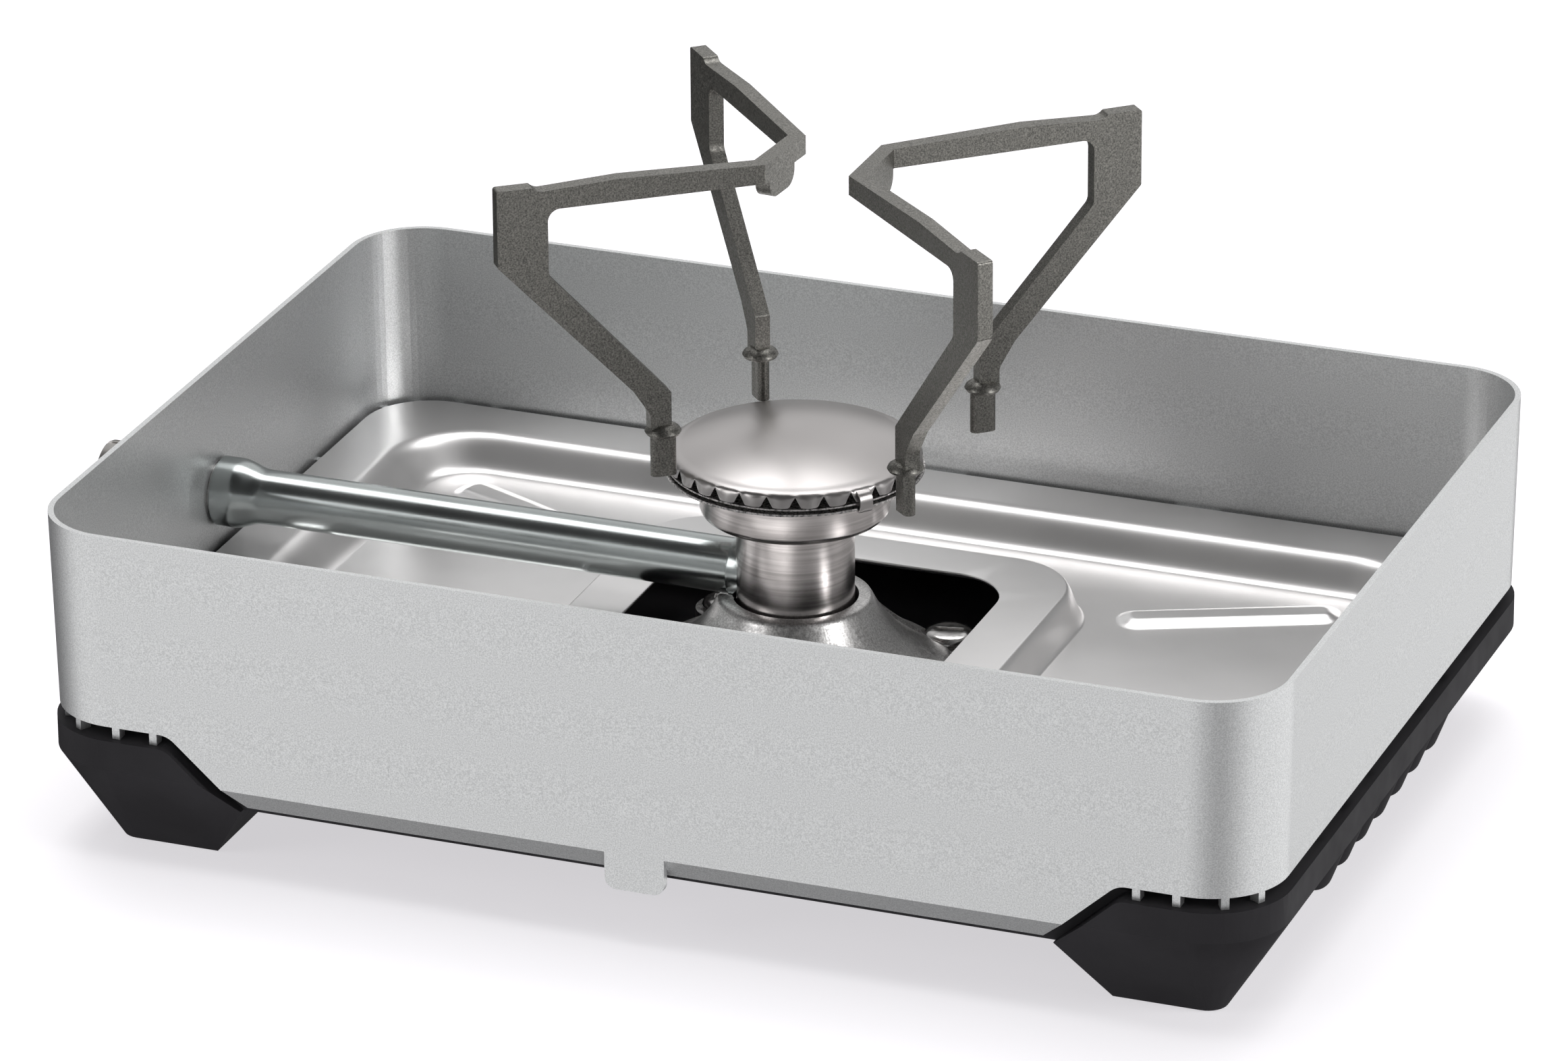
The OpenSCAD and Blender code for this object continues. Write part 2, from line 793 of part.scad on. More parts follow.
module burner_cap() {
    top = skirt_z + skirt_h_cap;
    crease_r = cap_r - 1.9;
    crease_z = top + 0.8;
    dome = [for (t = [1, 0.9, 0.78, 0.64, 0.5, 0.35, 0.2, 0.1])
        [crease_r*t, crease_z + dome_h*(1 - t*t)]];
    outer = concat([[cap_r, skirt_z]], arc(cap_r - rim_r, top, rim_r, 0, 75, 5), dome,
                   [[0, crease_z + dome_h]]);
    inner = concat([[0, crease_z + dome_h - cap_t]],
                   [for (i = [7:-1:1]) [dome[i][0], dome[i][1] - cap_t]],
                   [[cap_r - cap_t, top - 0.1], [cap_r - cap_t, skirt_z]]);
    color("#b5b0ae") placed() {
        difference() {
            rotate_extrude()
                polygon(concat(outer, inner));
            for (i = [0:port_count - 1])
                rotate([0, 0, -69 + i*360/port_count])
                    along_x(cap_r - 3, cap_r + 2)
                        polygon([[-port_w, skirt_z - port_h], [0, skirt_z + port_h],
                                 [port_w, skirt_z - port_h]]);
        }
        for (a = [-37, 83, 203])
            rotate([0, 0, a])
                cap_clip();
    }
}

// ---- gas line

function air_spigot_r() = bell_r - tube_t - fit;

module mixing_tube() {
    mouth = -(wall_x + case_wall) - 0.6;
    x1 = -stem_r + stem_wall/2;
    prof = [[-x1, tube_r], [mouth - bell_l, tube_r], [mouth - bell_l*0.85, tube_r + 0.2],
            [mouth - bell_l*0.55, bell_r - 0.35], [mouth - bell_l*0.42, bell_r], [mouth, bell_r]];
    bore = [[mouth, bell_r - tube_t], [mouth - bell_l*0.42, bell_r - tube_t],
            [mouth - bell_l*0.58, bell_r - tube_t - 0.3],
            [mouth - bell_l*0.85, tube_r - tube_t + 0.2], [mouth - bell_l, tube_r - tube_t],
            [-x1, tube_r - tube_t]];
    color("#a7adad") placed()
        translate([0, 0, tube_z])
            rotate([0, -90, 0])
                rotate_extrude()
                    polygon([for (p = concat(prof, bore)) [p[1], p[0]]]);
}

// ring brazed round the tube where it enters the stem
module tube_ferrule() {
    color("#93989a") placed() difference() {
        translate([-stem_r - 1.2, 0, tube_z])
            rotate([0, 90, 0])
                cylinder(r = tube_r + 0.9, h = 6);
        translate([-stem_r - 3, 0, tube_z])
            rotate([0, 90, 0])
                cylinder(r = tube_r + fit, h = 10);
        translate([0, 0, shelf_z])
            cylinder(r = stem_r + 0.05, h = 60, $fn = 128);
    }
}

// the tube's bell is pressed on this collar's spigot, and the casing wall is held between them
module air_collar() {
    color("#a9a8a6") placed() difference() {
        turned_outward([[-case_wall - spigot_l, air_spigot_r()], [0.17, air_spigot_r()],
                        [0.17, valve_r], [collar_l, valve_r], [collar_l, 6.4],
                        [-case_wall - spigot_l, 6.4]]);
        for (a = [45:90:315])
            translate([wall_x - collar_l/2 - 0.3, 0, tube_z])
                rotate([a, 0, 0])
                    translate([-1.9, -2.5, 5])
                        cube([3.8, 5, 6]);
    }
}

module gas_jet() {
    color("#b8963f") placed() {
        difference() {
            turned_outward([[collar_l - 6.6, 0.5], [collar_l - 6.6, 1.4], [collar_l - 5.4, 2.4],
                            [collar_l - 3.4, 2.4], [collar_l - 3.4, 4], [collar_l - 1, 4],
                            [collar_l - 1, 2.4], [collar_l + 3, 2.4], [collar_l + 3, 1.2],
                            [collar_l - 4.4, 1.2], [collar_l - 4.4, 0.5]]);
            for (a = [0:60:300])
                translate([wall_x - collar_l + 3.5, 0, tube_z])
                    rotate([a, 0, 0])
                        translate([-2.6, -4, 3.5])
                            cube([2.7, 8, 2]);
        }
    }
}

module jet_washer() {
    color("#a86f45") placed()
        turned_outward([[collar_l - 0.95, 2.5], [collar_l - 0.95, 4], [collar_l - 0.05, 4],
                        [collar_l - 0.05, 2.5]]);
}

module valve_body() {
    mid = collar_l + inlet_from;
    color("#b0903f") placed() difference() {
        union() {
            turned_outward([[collar_l, 0], [collar_l, valve_r], [collar_l + valve_l - 0.6, valve_r],
                            [collar_l + valve_l, valve_r - 0.6], [collar_l + valve_l, 0]]);
            translate([wall_x - mid, 0, tube_z - valve_r - 5])
                cylinder(r = 4.2, h = 8);
        }
        turned_outward([[collar_l - 1, 0], [collar_l - 1, 2.5], [collar_l + 3.1, 2.5],
                        [collar_l + 3.1, 1], [collar_l + 3.6, 1], [collar_l + 3.6, spindle_r + 0.05],
                        [collar_l + valve_l - 2.2, spindle_r + 0.05],
                        [collar_l + valve_l - 2.2, spindle_r + 1.6],
                        [collar_l + valve_l + 1, spindle_r + 1.6], [collar_l + valve_l + 1, 0]]);
        translate([wall_x - mid, 0, tube_z - valve_r - 6])
            cylinder(r = 1.2, h = valve_r + 6);
        translate([wall_x - mid, 0, tube_z - valve_r - 6])
            cylinder(r = 2.6, h = 5);
    }
}

module valve_seal() {
    z0 = collar_l + valve_l - 2.1;
    color("#26262a") placed()
        turned_outward([[z0, spindle_r + 0.08], [z0, spindle_r + 1.5], [z0 + 1.9, spindle_r + 1.5],
                        [z0 + 1.9, spindle_r + 0.08]]);
}

module gland_nut() {
    z0 = collar_l + valve_l;
    color("#b8963f") placed() difference() {
        translate([wall_x - z0, 0, tube_z])
            rotate([0, -90, 0])
                cylinder(r = 6, h = gland_l, $fn = 6);
        turned_outward([[z0 - 1, 0], [z0 - 1, spindle_r + 0.08], [z0 + gland_l + 1, spindle_r + 0.08],
                        [z0 + gland_l + 1, 0]]);
    }
}

module inlet_at() {
    translate([wall_x - collar_l - inlet_from, 0, tube_z - valve_r - 5])
        children();
}

// the nozzle that a gas hose is pushed on
module gas_inlet() {
    ridge = [for (i = [0:3]) each [[3.4, -6 - 3*i], [4.2, -6.4 - 3*i]]];
    color("#b8963f") placed()
        inlet_at()
            rotate_extrude()
                polygon(concat([[1.5, 3.9], [2.5, 3.9], [2.5, 0], [3.4, 0]], ridge,
                               [[3.2, -18.5], [1.5, -18.5]]));
}

module inlet_nut() {
    color("#b8963f") placed()
        inlet_at()
            translate([0, 0, -4])
                difference() {
                    cylinder(r = 6.2, h = 3.9, $fn = 6);
                    translate([0, 0, -1])
                        cylinder(r = 3.5, h = 6);
                }
}

module inlet_filter() {
    color("#8b7a52") placed()
        inlet_at()
            translate([0, 0, -14])
                cylinder(r = 1.4, h = 6);
}

module valve_spindle() {
    a = collar_l + 3.4;
    color("#c2c2c0") placed()
        turned_outward([[a, 0], [a, 0.5], [a + 1, spindle_r], [knob_from + knob_l - 2, spindle_r],
                        [knob_from + knob_l - 2, 0]]);
}

module control_knob() {
    from = knob_from;
    end = knob_from + knob_l;
    color("#bdbab6") placed() difference() {
        turned_outward([[from, 0], [from, knob_r - 0.3], [from + 0.3, knob_r], [end - 1, knob_r],
                        [end - 0.3, knob_r - 0.3], [end, knob_r - 1], [end, 0]]);
        turned_outward([[from - 1, 0], [from - 1, spindle_r + 0.04], [end - 1.8, spindle_r + 0.04],
                        [end - 1.8, 0]]);
        translate([wall_x - from - 3, 0, tube_z])
            rotate([-90, 0, 0])
                cylinder(r = 1.3, h = knob_r + 1);
        translate([wall_x - end - 0.1, -0.5, tube_z + 2.5])
            cube([knob_l - 4, 1, knob_r]);
    }
}

module knob_set_screw() {
    color("#3a3a3d") placed()
        translate([wall_x - knob_from - 3, spindle_r + 0.1, tube_z])
            rotate([-90, 0, 0])
                difference() {
                    cylinder(r = 1.2, h = knob_r - spindle_r - 1);
                    translate([0, 0, knob_r - spindle_r - 2.4])
                        cylinder(r = 0.65, h = 3, $fn = 6);
                }
}

// ---- pan supports

// one arm's outline: distance from the apex bar's corner, height above the peg flanges
module arm_outline() {
    nub = arm_l - nub_l;
    inner = arm_l - post_w;
    post_low = rail_h - post_h;
    neck0 = neck_s - neck_w/2;
    neck1 = neck_s + neck_w/2;
    offset(r = 0.7) offset(r = -0.7) offset(r = -3.2) offset(r = 3.2)
        polygon([[0, rail_h], [crest_s, rail_h + crest_h], [nub, rail_h - 0.4],
                 [nub, rail_h + nub_h], [arm_l, rail_h + nub_h], [arm_l, post_low],
                 [neck1 + 4.2, flange_h + 10], [neck1, flange_h + 3.4], [neck1, 1],
                 [neck0, 1], [neck0, flange_h + 8.8], [inner, post_low - 3.4],
                 [inner, rail_h - rail_d - 0.2], [0, rail_h - rail_d]]);
}

module support_peg() {
    translate([0, 0, -peg_l])
        linear_extrude(peg_l + 1)
            rounded(peg_w, peg_t, peg_t/2 - eps);
    rotate_extrude()
        polygon([[0, 0], [flange_r - 0.4, 0], [flange_r, 0.7], [flange_r - 0.4, 1.5],
                 [plate_t/2 + 0.6, flange_h], [0, flange_h]]);
}

module support_arm() {
    translate([0, apex_half, 0])
        rotate([0, 0, arm_angle]) {
            along_y(-plate_t, 0)
                arm_outline();
            translate([peg_s, -plate_t/2, 0])
                support_peg();
        }
}

// the straight bar that joins the two arms, with the tab that hangs under it
module apex_bar() {
    tab = 7;
    mid = 2;
    low = rail_h - rail_d - 5.2;
    translate([0, -apex_half - 0.2, rail_h - rail_d])
        cube([plate_t, 2*apex_half + 0.4, rail_d]);
    along_x(0, plate_t)
        polygon(concat([[mid - tab, rail_h - rail_d + 1]],
                       arc(mid - tab + 4, low + 4, 4, 180, 270),
                       arc(mid + tab - 4, low + 4, 4, 270, 360),
                       [[mid + tab, rail_h - rail_d + 1]]));
}

// a support with its apex on the Z axis and its arms running to +X
module pan_support() {
    apex_bar();
    support_arm();
    mirror([0, 1, 0])
        support_arm();
}

module pan_support_left() {
    color("#5b5a55") placed()
        translate([support_x - apex_x, 0, flange_z])
            rotate([0, 0, 180 - left_turn])
                pan_support();
}

module pan_support_right() {
    color("#5b5a55") placed()
        translate([support_x + apex_x, 0, flange_z])
            pan_support();
}

casing();
base();
foot_pads();
case_screws();
drip_tray();
burner_socket();
socket_screws();
socket_washers();
burner_stem();
stem_nut();
stem_washer();
burner_cup();
lower_plate();
spacer_ring();
upper_plate();
burner_cap();
mixing_tube();
tube_ferrule();
air_collar();
gas_jet();
jet_washer();
valve_body();
valve_seal();
gland_nut();
gas_inlet();
inlet_nut();
inlet_filter();
valve_spindle();
control_knob();
knob_set_screw();
pan_support_left();
pan_support_right();
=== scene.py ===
from math import cos, pi, radians, sin

import bmesh
import bpy
from mathutils import Matrix, Vector


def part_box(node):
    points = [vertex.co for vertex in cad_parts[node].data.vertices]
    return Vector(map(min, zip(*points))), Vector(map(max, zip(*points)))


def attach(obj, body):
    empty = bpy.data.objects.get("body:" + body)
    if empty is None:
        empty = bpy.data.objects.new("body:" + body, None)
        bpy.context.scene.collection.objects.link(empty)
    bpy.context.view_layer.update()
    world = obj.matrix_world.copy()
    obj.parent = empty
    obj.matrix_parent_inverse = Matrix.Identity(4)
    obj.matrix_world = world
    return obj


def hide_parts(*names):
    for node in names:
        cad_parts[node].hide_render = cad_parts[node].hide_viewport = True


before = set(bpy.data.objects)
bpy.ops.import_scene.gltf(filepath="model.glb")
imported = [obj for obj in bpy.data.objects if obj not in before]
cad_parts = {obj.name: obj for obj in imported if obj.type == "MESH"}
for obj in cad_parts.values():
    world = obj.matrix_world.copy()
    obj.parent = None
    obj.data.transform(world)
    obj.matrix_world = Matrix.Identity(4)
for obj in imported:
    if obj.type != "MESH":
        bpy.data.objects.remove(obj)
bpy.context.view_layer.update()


# ---------------------------------------------------------------- moulded base
# The base is one black plastic moulding with a fine spark-eroded grain. Its ledge carries the
# casing, its four flared feet stand on rubber soles, and ribs stiffen the sloping short sides.

# Here and in every later section sizes are millimetres about the burner's own axis, with the
# table at z = 0, as in the part's source. finished() turns them into metres in the frame.
mm = 0.001
stem_low, stem_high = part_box("burner_stem")
axis_x = (stem_low.x + stem_high.x) / 2


def add_node(material, kind, settings=None, **inputs):
    """Adds a shader node. Inputs are numbers, colours or the sockets that feed them."""
    made = material.node_tree.nodes.new(kind)
    for name, value in (settings or {}).items():
        setattr(made, name, value)
    for name, value in inputs.items():
        socket = made.inputs[name.replace("_", " ")]
        if isinstance(value, bpy.types.NodeSocket):
            material.node_tree.links.new(value, socket)
        else:
            socket.default_value = value
    return made


def plain_finish(name, **sockets):
    """A Principled finish. Its sockets are given by name, with _ for each space."""
    material = bpy.data.materials.new(name)
    material.use_nodes = True
    shader = material.node_tree.nodes["Principled BSDF"]
    for key, value in sockets.items():
        shader.inputs[key.replace("_", " ")].default_value = value
    return material


def grain(material, size, stretch=(1, 1, 1), detail=2.0):
    """Noise whose blotches are about size millimetres, drawn out along an axis by stretch."""
    place = add_node(material, "ShaderNodeTexCoord").outputs["Object"]
    scale = tuple(1 / (size * mm * s) for s in stretch)
    laid = add_node(material, "ShaderNodeMapping", Vector=place, Scale=scale)
    noise = add_node(material, "ShaderNodeTexNoise", Vector=laid.outputs[0], Scale=1.0,
                     Detail=detail)
    return noise.outputs[0]


def feed(material, socket_name, value):
    """Links a value to one of the finish's own sockets."""
    shader = material.node_tree.nodes["Principled BSDF"]
    material.node_tree.links.new(value, shader.inputs[socket_name])


def coloured_by(material, value, dark, light, low=0.3, high=0.7):
    """Runs the colour from dark to light as value goes from low to high."""
    ramp = add_node(material, "ShaderNodeValToRGB", Fac=value)
    ramp.color_ramp.elements[0].position = low
    ramp.color_ramp.elements[1].position = high
    ramp.color_ramp.elements[0].color = (*dark, 1)
    ramp.color_ramp.elements[1].color = (*light, 1)
    feed(material, "Base Color", ramp.outputs[0])


def roughened_by(material, value, smooth, rough):
    """Runs the roughness from smooth to rough over the middle of value's range."""
    spread = add_node(material, "ShaderNodeMapRange", Value=value, From_Min=0.3, From_Max=0.7,
                      To_Min=smooth, To_Max=rough)
    feed(material, "Roughness", spread.outputs[0])


def raised_by(material, value, height, strength):
    """Bumps height millimetres high where value is high."""
    bump = add_node(material, "ShaderNodeBump", Height=value, Distance=height * mm,
                    Strength=strength)
    feed(material, "Normal", bump.outputs[0])


def finished(name, bm, material, body, node, crease=32, closed=True):
    """Makes the piece from its mesh, moves it into the frame, hangs it on its body and hides the
    CAD part that it takes the place of.
    """
    bmesh.ops.scale(bm, vec=(mm, mm, mm), verts=bm.verts)
    bmesh.ops.translate(bm, vec=(axis_x, 0, 0), verts=bm.verts)
    if closed:
        bmesh.ops.recalc_face_normals(bm, faces=bm.faces)
    mesh = bpy.data.meshes.new(name)
    bm.to_mesh(mesh)
    bm.free()
    mesh.shade_smooth()
    mesh.set_sharp_from_angle(angle=radians(crease))
    mesh.materials.append(material)
    piece = bpy.data.objects.new(name, mesh)
    bpy.context.collection.objects.link(piece)
    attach(piece, body)
    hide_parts(node)
    return piece


def soften(piece, width, segments=2, angle=32):
    """Rounds the piece's sharp edges."""
    edges = piece.modifiers.new("edges", "BEVEL")
    edges.width = width * mm
    edges.segments = segments
    edges.limit_method = "ANGLE"
    edges.angle_limit = radians(angle)
    edges.harden_normals = True


def from_solid(node):
    """A merged copy of a CAD solid, in millimetres about the burner, with its flats made whole."""
    bm = bmesh.new()
    bm.from_mesh(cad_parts[node].data)
    bmesh.ops.remove_doubles(bm, verts=bm.verts, dist=0.002 * mm)
    bmesh.ops.dissolve_limit(bm, angle_limit=radians(0.6), verts=bm.verts, edges=bm.edges)
    bmesh.ops.translate(bm, vec=(-axis_x, 0, 0), verts=bm.verts)
    bmesh.ops.scale(bm, vec=(1 / mm, 1 / mm, 1 / mm), verts=bm.verts)
    return bm


black_plastic = plain_finish("black_plastic", Specular_IOR_Level=0.06)
coloured_by(black_plastic, grain(black_plastic, 30, detail=4), (0.023, 0.022, 0.024),
            (0.031, 0.030, 0.0325))
roughened_by(black_plastic, grain(black_plastic, 8, detail=2), 0.5, 0.58)
raised_by(black_plastic, grain(black_plastic, 0.35, detail=3), 0.012, 0.6)


def turned(profile, steps=96, closed=True):
    """Spins a profile of (radius, height) points about the Z axis."""
    bm = bmesh.new()
    points = [bm.verts.new((r, 0, z)) for r, z in profile]
    lines = [bm.edges.new(pair) for pair in zip(points, points[1:])]
    if closed:
        lines.append(bm.edges.new((points[-1], points[0])))
    bmesh.ops.spin(bm, geom=points + lines, cent=(0, 0, 0), axis=(0, 0, 1), angle=2 * pi,
                   steps=steps, use_merge=True, use_duplicate=False)
    bmesh.ops.remove_doubles(bm, verts=bm.verts, dist=0.001)
    bmesh.ops.dissolve_degenerate(bm, edges=bm.edges, dist=0.001)
    bmesh.ops.recalc_face_normals(bm, faces=bm.faces)
    return bm


def combined(bm, other, how):
    """Joins or cuts two closed meshes."""
    pair = []
    for part in (bm, other):
        mesh = bpy.data.meshes.new("blank")
        part.to_mesh(mesh)
        part.free()
        blank = bpy.data.objects.new("blank", mesh)
        bpy.context.collection.objects.link(blank)
        pair.append(blank)
    work = pair[0].modifiers.new("work", "BOOLEAN")
    work.operation = how
    work.solver = "EXACT"
    work.object = pair[1]
    done = bmesh.new()
    done.from_object(pair[0], bpy.context.evaluated_depsgraph_get())
    for blank in pair:
        mesh = blank.data
        bpy.data.objects.remove(blank)
        bpy.data.meshes.remove(mesh)
    return done


def rod(radius, low, high, steps=48):
    """A solid round bar, upright on the Z axis."""
    return turned([(0, low), (radius, low), (radius, high), (0, high)], steps, closed=False)


def moved(bm, *matrices):
    """Moves a mesh by each matrix in turn."""
    for matrix in matrices:
        bmesh.ops.transform(bm, matrix=matrix, verts=bm.verts)
    return bm


def gathered(parts):
    """Puts several meshes into one."""
    whole = bmesh.new()
    for part in parts:
        mesh = bpy.data.meshes.new("part")
        part.to_mesh(mesh)
        part.free()
        whole.from_mesh(mesh)
        bpy.data.meshes.remove(mesh)
    return whole


def cut_plate(points, thickness):
    """A plate standing on the X axis, cut to an outline of (x, z) points."""
    bm = bmesh.new()
    face = bm.faces.new([bm.verts.new((x, -thickness / 2, z)) for x, z in points])
    side = bmesh.ops.extrude_face_region(bm, geom=[face])
    bmesh.ops.translate(bm, vec=(0, thickness, 0),
                        verts=[v for v in side["geom"] if isinstance(v, bmesh.types.BMVert)])
    bmesh.ops.recalc_face_normals(bm, faces=bm.faces)
    return bm


shell = from_solid("base")
slope_top, slope_foot = (159.92, 25.45), (150.96, 11)   # (x, z) on the sloping short side
clear_x = 166                                           # well outside the base
trim_length = 120
trim_outline = [slope_top, slope_foot, (clear_x, slope_foot[1]), (clear_x, slope_top[1])]
trims = [moved(cut_plate(trim_outline, trim_length), Matrix.Rotation(turn, 4, "Z"))
         for turn in (0, pi)]
shell = combined(shell, gathered(trims), "DIFFERENCE")

rib_count, rib_pitch, first_rib_y = 7, 14.3, -46.6
rib_x, rib_z, rib_lean = 151.8, 17.6, radians(21)
rib_radius, rib_top = 4.6, 9.0                          # round-ended below, open into the ledge
rib_profile = [(rib_radius * sin(radians(a)), -rib_radius * cos(radians(a)))
               for a in range(0, 91, 10)] + [(rib_radius, rib_top), (0, rib_top)]
ribs = []
for turn, side in ((0, 1), (pi, -1)):
    for k in range(rib_count):
        rib_y = side * (rib_pitch * k + first_rib_y)
        ribs.append(moved(turned(rib_profile, 40, closed=False),
                          Matrix.Rotation(rib_lean, 4, "Y"),
                          Matrix.Translation((rib_x, rib_y, rib_z)),
                          Matrix.Rotation(turn, 4, "Z")))
shell = combined(shell, gathered(ribs), "UNION")

foot_x, foot_y = 119, 62                                # where the feet's soles end
sole_edges = [e for e in shell.edges
              if all(v.co.z < 0.7 for v in e.verts)
              and (all(abs(abs(v.co.x) - foot_x) < 0.8 for v in e.verts)
                   or all(abs(abs(v.co.y) - foot_y) < 0.8 for v in e.verts))]
bmesh.ops.bevel(shell, geom=sole_edges, offset=2.4, offset_type="OFFSET", affect="EDGES",
                segments=5, profile=0.5, material=-1)
base = finished("moulded_base", shell, black_plastic, "stove", "base", crease=20)
soften(base, 0.45, segments=3, angle=20)

sole_rubber = plain_finish("sole_rubber", Roughness=0.75)
raised_by(sole_rubber, grain(sole_rubber, 0.6), 0.03, 0.7)
coloured_by(sole_rubber, grain(sole_rubber, 6), (0.015, 0.015, 0.017), (0.03, 0.03, 0.032))


def finish_solid(node, material):
    """Gives a CAD solid that shows as it is its finish."""
    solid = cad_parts[node]
    solid.data.materials.clear()
    solid.data.materials.append(material)


finish_solid("foot_pads", sole_rubber)

zinc_screw = plain_finish("zinc_screw", Metallic=1.0)
coloured_by(zinc_screw, grain(zinc_screw, 2), (0.42, 0.43, 0.44), (0.6, 0.61, 0.63))
roughened_by(zinc_screw, grain(zinc_screw, 1), 0.29, 0.45)
finish_solid("case_screws", zinc_screw)


# ---------------------------------------------------------------- casing
# The casing is bent and welded sheet, sprayed with a silver paint full of fine metal flake. Its
# aprons fold inward at the bottom. Upright bars near its corners stand on the base's ledge, and
# the vent slot that they leave stays clear along the short sides.

silver_paint = plain_finish("silver_paint", Metallic=0.8)
flake = grain(silver_paint, 0.34, detail=1)
coloured_by(silver_paint, flake, (0.54, 0.547, 0.55), (0.74, 0.748, 0.75))
roughened_by(silver_paint, grain(silver_paint, 0.4), 0.36, 0.42)
raised_by(silver_paint, flake, 0.02, 0.5)

slot_low, slot_high, slot_length = 33.3, 36.9, 172
inside_x, outside_x = 147, 163      # the slot's cutter passes right through the wall
slot_outline = [(inside_x, slot_low), (outside_x, slot_low), (outside_x, slot_high),
                (inside_x, slot_high)]
shell_metal = from_solid("casing")
for turn in (0, pi):
    slot = moved(cut_plate(slot_outline, slot_length), Matrix.Rotation(turn, 4, "Z"))
    shell_metal = combined(shell_metal, slot, "DIFFERENCE")
casing = finished("casing_shell", shell_metal, silver_paint, "stove",
                  "casing", crease=12)
soften(casing, 0.35, segments=3, angle=12)


# ---------------------------------------------------------------- drip tray
# The tray is pressed from one satin stainless sheet: a flat ledge at the casing's wall, a soft
# step down to the floor, four stiffening ribs, and a raised platform round a square opening.

def rounded_outline(bm, half_x, half_y, radius, z, segments):
    """A face in the shape of a rectangle with rounded corners."""
    others = set(bm.faces)
    grid = bmesh.ops.create_grid(bm, x_segments=1, y_segments=1, size=1,
                                 matrix=Matrix.Translation((0, 0, z)))
    bmesh.ops.scale(bm, vec=(half_x, half_y, 1), verts=grid["verts"])
    bmesh.ops.bevel(bm, geom=grid["verts"], offset=radius, offset_type="OFFSET",
                    affect="VERTICES", segments=segments, profile=0.5, material=-1)
    return next(f for f in bm.faces if f not in others)


def rim_of(bm, face):
    """Takes a face away and returns the edges that it leaves."""
    edges = list(face.edges)
    bmesh.ops.delete(bm, geom=[face], context="FACES_ONLY")
    return edges


def pressed(bm, face, width, height, steps, lean=1.0):
    """Presses a face up or down one soft S-shaped slope, whose last bend is the tighter one where
    lean is over 1. Returns the slope's outer edges and the face at its end."""
    others = {e for e in bm.edges if e.is_boundary} - set(face.edges)
    done = 0.0
    for k in range(1, steps + 1):
        part = (1 - cos(pi * (k / steps) ** lean)) / 2
        bmesh.ops.inset_region(bm, faces=[face], thickness=width / steps, depth=0,
                               use_boundary=True, use_even_offset=True)
        bmesh.ops.translate(bm, vec=(0, 0, height * (part - done)), verts=face.verts)
        done = part
    return [e for e in bm.edges if e.is_boundary and e not in others], face


ledge_z, floor_z, platform_z = 40, 32, 41
sheet_metal = bmesh.new()
ledge_rim = rim_of(sheet_metal, rounded_outline(sheet_metal, 156.1, 106.5, 17.8, ledge_z, 12))
step_rim, step = pressed(sheet_metal, rounded_outline(sheet_metal, 142.6, 93.1, 25, ledge_z, 12),
                         12.6, floor_z - ledge_z, 20, lean=1.15)
floor_rim = rim_of(sheet_metal, step)
bmesh.ops.triangle_fill(sheet_metal, use_beauty=True, edges=ledge_rim + step_rim)

platform_rim, platform = pressed(sheet_metal,
                                 rounded_outline(sheet_metal, 62.2, 62.2, 24, floor_z, 12),
                                 5, platform_z - floor_z, 14)
platform_top = rim_of(sheet_metal, platform)
opening_rim = rim_of(sheet_metal, rounded_outline(sheet_metal, 43.2, 43.2, 15, platform_z, 12))
bmesh.ops.triangle_fill(sheet_metal, use_beauty=True, edges=platform_top + opening_rim)

rib_start_x, rib_start_y = 74.2, 50.3
rib_reach = 22.5                    # from a rib's start to its middle, towards a corner
rib_turn = radians(24)
rib_rims = []
for side_x, side_y in ((1, 1), (-1, 1), (1, -1), (-1, -1)):
    rib = rounded_outline(sheet_metal, 29, 6.5, 5.6, 0, 8)
    turn = Matrix.Rotation(rib_turn * side_x * side_y, 4, "Z")
    middle = (Vector((side_x * rib_start_x, side_y * rib_start_y, floor_z))
              + turn @ Vector((side_x * rib_reach, 0, 0)))
    bmesh.ops.transform(sheet_metal, matrix=Matrix.Translation(middle) @ turn, verts=rib.verts)
    rib_rims += pressed(sheet_metal, rib, 4.6, 1.6, 12)[0]
bmesh.ops.triangle_fill(sheet_metal, use_beauty=True,
                        edges=floor_rim + platform_rim + rib_rims)
bmesh.ops.remove_doubles(sheet_metal, verts=sheet_metal.verts, dist=0.01)
bmesh.ops.recalc_face_normals(sheet_metal, faces=sheet_metal.faces)
sheet_metal.normal_update()
if sum(f.normal.z * f.calc_area() for f in sheet_metal.faces) < 0:
    bmesh.ops.reverse_faces(sheet_metal, faces=sheet_metal.faces)

tray_steel = plain_finish("tray_steel", Metallic=0.9)
coloured_by(tray_steel, grain(tray_steel, 40, detail=3), (0.84, 0.827, 0.823),
            (0.92, 0.907, 0.903))
roughened_by(tray_steel, grain(tray_steel, 25, detail=2), 0.28, 0.31)
raised_by(tray_steel, grain(tray_steel, 0.5, stretch=(1, 12, 1)), 0.001, 0.3)

tray = finished("drip_tray_sheet", sheet_metal, tray_steel, "stove", "drip_tray",
                crease=50, closed=False)
sheet = tray.modifiers.new("sheet", "SOLIDIFY")
sheet.thickness = 0.8 * mm
sheet.offset = -1
tray.modifiers.new("flats", "WEIGHTED_NORMAL").keep_sharp = True


# ---------------------------------------------------------------- burner socket
# The socket is a die-cast alloy foot, shot-blasted to a fine sparkle. Its collar takes the
# burner's stem, and four lugs take the screws that hold it down on the base.

